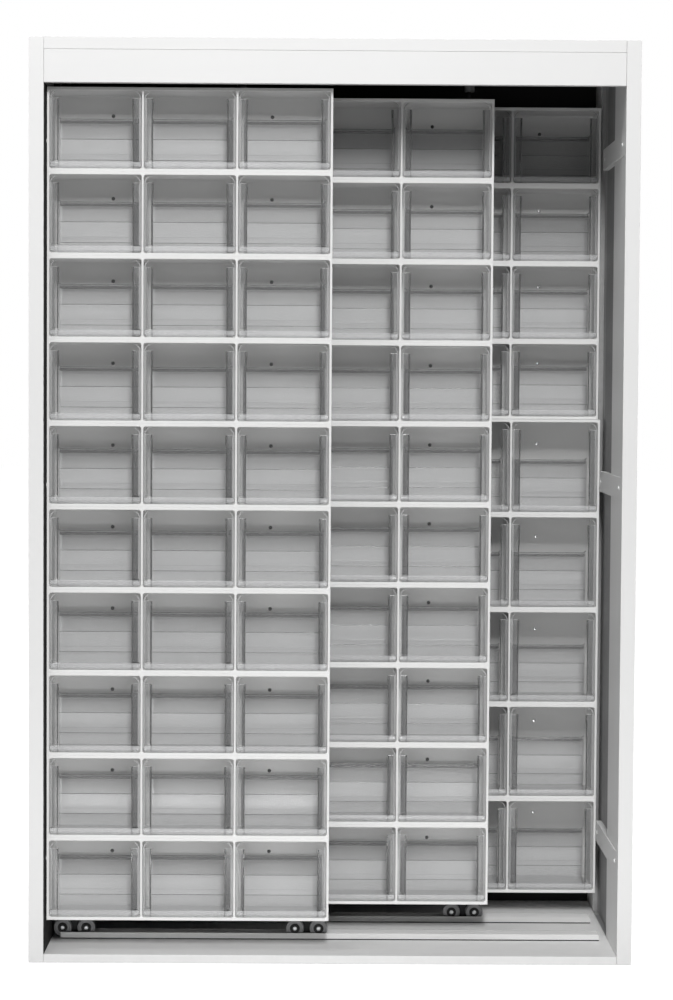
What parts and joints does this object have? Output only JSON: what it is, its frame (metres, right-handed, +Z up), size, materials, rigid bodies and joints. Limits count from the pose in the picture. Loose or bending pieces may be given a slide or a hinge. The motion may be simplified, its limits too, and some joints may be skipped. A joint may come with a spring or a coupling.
{
  "type": "tilt bin storage cabinet",
  "caption": "Tall white open cabinet with clear tilting bins in stacked housings, in layers: wheeled carriages that slide sideways in front of a fixed rear bank.",
  "frame": {"origin": "on the floor under the middle of the cabinet", "axes": "+X to the right seen from the open front, +Y to the back, +Z up"},
  "size_m": [1.276, 0.5832, 1.9443],
  "materials": {
    "laminate": "white laminated board, satin",
    "white_plastic": "white moulded plastic, satin",
    "clear_plastic": "clear moulded plastic, glossy",
    "frame_steel": "dark powder coat",
    "rail": "white powder coat",
    "nylon": "grey nylon"
  },
  "bodies": {
    "cabinet": {"left_side_panel": "laminate", "right_side_panel": "laminate", "base_panel": "laminate", "top_panel": "laminate", "header_panel": "laminate", "back_panel": "laminate", "front_floor_rail": "rail", "middle_floor_rail": "rail", "front_top_guide": "rail", "middle_top_guide": "rail", "rear_left_lower_bank": "white_plastic", "rear_left_upper_bank": "white_plastic", "rear_right_lower_bank": "white_plastic", "rear_right_upper_bank": "white_plastic"},
    "front_carriage": {"front_carriage_frame": "frame_steel", "front_housings": "white_plastic"},
    "middle_carriage": {"middle_carriage_frame": "frame_steel", "middle_bank": "white_plastic"},
    "front_wheel_outer_left": {"front_wheel_outer_left": "nylon"},
    "front_wheel_inner_left": {"front_wheel_inner_left": "nylon"},
    "front_wheel_inner_right": {"front_wheel_inner_right": "nylon"},
    "front_wheel_outer_right": {"front_wheel_outer_right": "nylon"},
    "front_guide_roller_left": {"front_guide_roller_left": "nylon"},
    "front_guide_roller_right": {"front_guide_roller_right": "nylon"},
    "middle_wheel_outer_left": {"middle_wheel_outer_left": "nylon"},
    "middle_wheel_inner_left": {"middle_wheel_inner_left": "nylon"},
    "middle_wheel_inner_right": {"middle_wheel_inner_right": "nylon"},
    "middle_wheel_outer_right": {"middle_wheel_outer_right": "nylon"},
    "middle_guide_roller_left": {"middle_guide_roller_left": "nylon"},
    "middle_guide_roller_right": {"middle_guide_roller_right": "nylon"},
    "front_bin_01_left": {"front_bin_01_left": "clear_plastic"},
    "front_bin_01_centre": {"front_bin_01_centre": "clear_plastic"},
    "front_bin_01_right": {"front_bin_01_right": "clear_plastic"},
    "front_bin_02_left": {"front_bin_02_left": "clear_plastic"},
    "front_bin_02_centre": {"front_bin_02_centre": "clear_plastic"},
    "front_bin_02_right": {"front_bin_02_right": "clear_plastic"},
    "front_bin_03_left": {"front_bin_03_left": "clear_plastic"},
    "front_bin_03_centre": {"front_bin_03_centre": "clear_plastic"},
    "front_bin_03_right": {"front_bin_03_right": "clear_plastic"},
    "front_bin_04_left": {"front_bin_04_left": "clear_plastic"},
    "front_bin_04_centre": {"front_bin_04_centre": "clear_plastic"},
    "front_bin_04_right": {"front_bin_04_right": "clear_plastic"},
    "front_bin_05_left": {"front_bin_05_left": "clear_plastic"},
    "front_bin_05_centre": {"front_bin_05_centre": "clear_plastic"},
    "front_bin_05_right": {"front_bin_05_right": "clear_plastic"},
    "front_bin_06_left": {"front_bin_06_left": "clear_plastic"},
    "front_bin_06_centre": {"front_bin_06_centre": "clear_plastic"},
    "front_bin_06_right": {"front_bin_06_right": "clear_plastic"},
    "front_bin_07_left": {"front_bin_07_left": "clear_plastic"},
    "front_bin_07_centre": {"front_bin_07_centre": "clear_plastic"},
    "front_bin_07_right": {"front_bin_07_right": "clear_plastic"},
    "front_bin_08_left": {"front_bin_08_left": "clear_plastic"},
    "front_bin_08_centre": {"front_bin_08_centre": "clear_plastic"},
    "front_bin_08_right": {"front_bin_08_right": "clear_plastic"},
    "front_bin_09_left": {"front_bin_09_left": "clear_plastic"},
    "front_bin_09_centre": {"front_bin_09_centre": "clear_plastic"},
    "front_bin_09_right": {"front_bin_09_right": "clear_plastic"},
    "front_bin_10_left": {"front_bin_10_left": "clear_plastic"},
    "front_bin_10_centre": {"front_bin_10_centre": "clear_plastic"},
    "front_bin_10_right": {"front_bin_10_right": "clear_plastic"}
  },
  "joints": [
    {"name": "front_carriage_slide", "type": "slide", "parent": "cabinet", "child": "front_carriage", "axis": [1, 0, 0], "range_m": [0, 0.608]},
    {"name": "middle_carriage_slide", "type": "slide", "parent": "cabinet", "child": "middle_carriage", "axis": [-1, 0, 0], "range_m": [-0.2575, 0.3505]},
    {"name": "front_wheel_outer_left_spin", "type": "hinge", "parent": "front_carriage", "child": "front_wheel_outer_left", "pos_m": [-0.583, -0.12365, 0.0391], "axis": [0, 1, 0], "continuous": true},
    {"name": "front_wheel_inner_left_spin", "type": "hinge", "parent": "front_carriage", "child": "front_wheel_inner_left", "pos_m": [-0.5315, -0.12365, 0.0391], "axis": [0, 1, 0], "continuous": true},
    {"name": "front_wheel_inner_right_spin", "type": "hinge", "parent": "front_carriage", "child": "front_wheel_inner_right", "pos_m": [-0.0765, -0.12365, 0.0391], "axis": [0, 1, 0], "continuous": true},
    {"name": "front_wheel_outer_right_spin", "type": "hinge", "parent": "front_carriage", "child": "front_wheel_outer_right", "pos_m": [-0.025, -0.12365, 0.0391], "axis": [0, 1, 0], "continuous": true},
    {"name": "front_guide_roller_left_spin", "type": "hinge", "parent": "front_carriage", "child": "front_guide_roller_left", "pos_m": [-0.557, -0.12365, 1.8873], "axis": [0, 0, 1], "continuous": true},
    {"name": "front_guide_roller_right_spin", "type": "hinge", "parent": "front_carriage", "child": "front_guide_roller_right", "pos_m": [-0.051, -0.12365, 1.8873], "axis": [0, 0, 1], "continuous": true},
    {"name": "middle_wheel_outer_left_spin", "type": "hinge", "parent": "middle_carriage", "child": "middle_wheel_outer_left", "pos_m": [-0.2325, 0.05135, 0.0391], "axis": [0, 1, 0], "continuous": true},
    {"name": "middle_wheel_inner_left_spin", "type": "hinge", "parent": "middle_carriage", "child": "middle_wheel_inner_left", "pos_m": [-0.181, 0.05135, 0.0391], "axis": [0, 1, 0], "continuous": true},
    {"name": "middle_wheel_inner_right_spin", "type": "hinge", "parent": "middle_carriage", "child": "middle_wheel_inner_right", "pos_m": [0.274, 0.05135, 0.0391], "axis": [0, 1, 0], "continuous": true},
    {"name": "middle_wheel_outer_right_spin", "type": "hinge", "parent": "middle_carriage", "child": "middle_wheel_outer_right", "pos_m": [0.3255, 0.05135, 0.0391], "axis": [0, 1, 0], "continuous": true},
    {"name": "middle_guide_roller_left_spin", "type": "hinge", "parent": "middle_carriage", "child": "middle_guide_roller_left", "pos_m": [-0.2065, 0.05135, 1.8873], "axis": [0, 0, 1], "continuous": true},
    {"name": "middle_guide_roller_right_spin", "type": "hinge", "parent": "middle_carriage", "child": "middle_guide_roller_right", "pos_m": [0.2995, 0.05135, 1.8873], "axis": [0, 0, 1], "continuous": true},
    {"name": "front_bin_01_left_tilt", "type": "hinge", "parent": "front_carriage", "child": "front_bin_01_left", "pos_m": [-0.50217, -0.24865, 1.68305], "axis": [1, 0, 0], "range_deg": [0, 40]},
    {"name": "front_bin_01_centre_tilt", "type": "hinge", "parent": "front_carriage", "child": "front_bin_01_centre", "pos_m": [-0.304, -0.24865, 1.68305], "axis": [1, 0, 0], "range_deg": [0, 40]},
    {"name": "front_bin_01_right_tilt", "type": "hinge", "parent": "front_carriage", "child": "front_bin_01_right", "pos_m": [-0.10583, -0.24865, 1.68305], "axis": [1, 0, 0], "range_deg": [0, 40]},
    {"name": "front_bin_02_left_tilt", "type": "hinge", "parent": "front_carriage", "child": "front_bin_02_left", "pos_m": [-0.50217, -0.24865, 1.50685], "axis": [1, 0, 0], "range_deg": [0, 40]},
    {"name": "front_bin_02_centre_tilt", "type": "hinge", "parent": "front_carriage", "child": "front_bin_02_centre", "pos_m": [-0.304, -0.24865, 1.50685], "axis": [1, 0, 0], "range_deg": [0, 40]},
    {"name": "front_bin_02_right_tilt", "type": "hinge", "parent": "front_carriage", "child": "front_bin_02_right", "pos_m": [-0.10583, -0.24865, 1.50685], "axis": [1, 0, 0], "range_deg": [0, 40]},
    {"name": "front_bin_03_left_tilt", "type": "hinge", "parent": "front_carriage", "child": "front_bin_03_left", "pos_m": [-0.50217, -0.24865, 1.33065], "axis": [1, 0, 0], "range_deg": [0, 40]},
    {"name": "front_bin_03_centre_tilt", "type": "hinge", "parent": "front_carriage", "child": "front_bin_03_centre", "pos_m": [-0.304, -0.24865, 1.33065], "axis": [1, 0, 0], "range_deg": [0, 40]},
    {"name": "front_bin_03_right_tilt", "type": "hinge", "parent": "front_carriage", "child": "front_bin_03_right", "pos_m": [-0.10583, -0.24865, 1.33065], "axis": [1, 0, 0], "range_deg": [0, 40]},
    {"name": "front_bin_04_left_tilt", "type": "hinge", "parent": "front_carriage", "child": "front_bin_04_left", "pos_m": [-0.50217, -0.24865, 1.15445], "axis": [1, 0, 0], "range_deg": [0, 40]},
    {"name": "front_bin_04_centre_tilt", "type": "hinge", "parent": "front_carriage", "child": "front_bin_04_centre", "pos_m": [-0.304, -0.24865, 1.15445], "axis": [1, 0, 0], "range_deg": [0, 40]},
    {"name": "front_bin_04_right_tilt", "type": "hinge", "parent": "front_carriage", "child": "front_bin_04_right", "pos_m": [-0.10583, -0.24865, 1.15445], "axis": [1, 0, 0], "range_deg": [0, 40]},
    {"name": "front_bin_05_left_tilt", "type": "hinge", "parent": "front_carriage", "child": "front_bin_05_left", "pos_m": [-0.50217, -0.24865, 0.97825], "axis": [1, 0, 0], "range_deg": [0, 40]},
    {"name": "front_bin_05_centre_tilt", "type": "hinge", "parent": "front_carriage", "child": "front_bin_05_centre", "pos_m": [-0.304, -0.24865, 0.97825], "axis": [1, 0, 0], "range_deg": [0, 40]},
    {"name": "front_bin_05_right_tilt", "type": "hinge", "parent": "front_carriage", "child": "front_bin_05_right", "pos_m": [-0.10583, -0.24865, 0.97825], "axis": [1, 0, 0], "range_deg": [0, 40]},
    {"name": "front_bin_06_left_tilt", "type": "hinge", "parent": "front_carriage", "child": "front_bin_06_left", "pos_m": [-0.50217, -0.24865, 0.80205], "axis": [1, 0, 0], "range_deg": [0, 40]},
    {"name": "front_bin_06_centre_tilt", "type": "hinge", "parent": "front_carriage", "child": "front_bin_06_centre", "pos_m": [-0.304, -0.24865, 0.80205], "axis": [1, 0, 0], "range_deg": [0, 40]},
    {"name": "front_bin_06_right_tilt", "type": "hinge", "parent": "front_carriage", "child": "front_bin_06_right", "pos_m": [-0.10583, -0.24865, 0.80205], "axis": [1, 0, 0], "range_deg": [0, 40]},
    {"name": "front_bin_07_left_tilt", "type": "hinge", "parent": "front_carriage", "child": "front_bin_07_left", "pos_m": [-0.50217, -0.24865, 0.62585], "axis": [1, 0, 0], "range_deg": [0, 40]},
    {"name": "front_bin_07_centre_tilt", "type": "hinge", "parent": "front_carriage", "child": "front_bin_07_centre", "pos_m": [-0.304, -0.24865, 0.62585], "axis": [1, 0, 0], "range_deg": [0, 40]},
    {"name": "front_bin_07_right_tilt", "type": "hinge", "parent": "front_carriage", "child": "front_bin_07_right", "pos_m": [-0.10583, -0.24865, 0.62585], "axis": [1, 0, 0], "range_deg": [0, 40]},
    {"name": "front_bin_08_left_tilt", "type": "hinge", "parent": "front_carriage", "child": "front_bin_08_left", "pos_m": [-0.50217, -0.24865, 0.44965], "axis": [1, 0, 0], "range_deg": [0, 40]},
    {"name": "front_bin_08_centre_tilt", "type": "hinge", "parent": "front_carriage", "child": "front_bin_08_centre", "pos_m": [-0.304, -0.24865, 0.44965], "axis": [1, 0, 0], "range_deg": [0, 40]},
    {"name": "front_bin_08_right_tilt", "type": "hinge", "parent": "front_carriage", "child": "front_bin_08_right", "pos_m": [-0.10583, -0.24865, 0.44965], "axis": [1, 0, 0], "range_deg": [0, 40]},
    {"name": "front_bin_09_left_tilt", "type": "hinge", "parent": "front_carriage", "child": "front_bin_09_left", "pos_m": [-0.50217, -0.24865, 0.27345], "axis": [1, 0, 0], "range_deg": [0, 40]},
    {"name": "front_bin_09_centre_tilt", "type": "hinge", "parent": "front_carriage", "child": "front_bin_09_centre", "pos_m": [-0.304, -0.24865, 0.27345], "axis": [1, 0, 0], "range_deg": [0, 40]},
    {"name": "front_bin_09_right_tilt", "type": "hinge", "parent": "front_carriage", "child": "front_bin_09_right", "pos_m": [-0.10583, -0.24865, 0.27345], "axis": [1, 0, 0], "range_deg": [0, 40]},
    {"name": "front_bin_10_left_tilt", "type": "hinge", "parent": "front_carriage", "child": "front_bin_10_left", "pos_m": [-0.50217, -0.24865, 0.09725], "axis": [1, 0, 0], "range_deg": [0, 40]},
    {"name": "front_bin_10_centre_tilt", "type": "hinge", "parent": "front_carriage", "child": "front_bin_10_centre", "pos_m": [-0.304, -0.24865, 0.09725], "axis": [1, 0, 0], "range_deg": [0, 40]},
    {"name": "front_bin_10_right_tilt", "type": "hinge", "parent": "front_carriage", "child": "front_bin_10_right", "pos_m": [-0.10583, -0.24865, 0.09725], "axis": [1, 0, 0], "range_deg": [0, 40]}
  ],
  "couplings": [
    {"joint": "front_wheel_outer_left_spin", "follows": "front_carriage_slide", "rad_per_m": 51.282},
    {"joint": "front_wheel_inner_left_spin", "follows": "front_carriage_slide", "rad_per_m": 51.282},
    {"joint": "front_wheel_inner_right_spin", "follows": "front_carriage_slide", "rad_per_m": 51.282},
    {"joint": "front_wheel_outer_right_spin", "follows": "front_carriage_slide", "rad_per_m": 51.282},
    {"joint": "front_guide_roller_left_spin", "follows": "front_carriage_slide", "rad_per_m": -90.909},
    {"joint": "front_guide_roller_right_spin", "follows": "front_carriage_slide", "rad_per_m": -90.909},
    {"joint": "middle_wheel_outer_left_spin", "follows": "middle_carriage_slide", "rad_per_m": -51.282},
    {"joint": "middle_wheel_inner_left_spin", "follows": "middle_carriage_slide", "rad_per_m": -51.282},
    {"joint": "middle_wheel_inner_right_spin", "follows": "middle_carriage_slide", "rad_per_m": -51.282},
    {"joint": "middle_wheel_outer_right_spin", "follows": "middle_carriage_slide", "rad_per_m": -51.282},
    {"joint": "middle_guide_roller_left_spin", "follows": "middle_carriage_slide", "rad_per_m": 90.909},
    {"joint": "middle_guide_roller_right_spin", "follows": "middle_carriage_slide", "rad_per_m": 90.909}
  ]
}
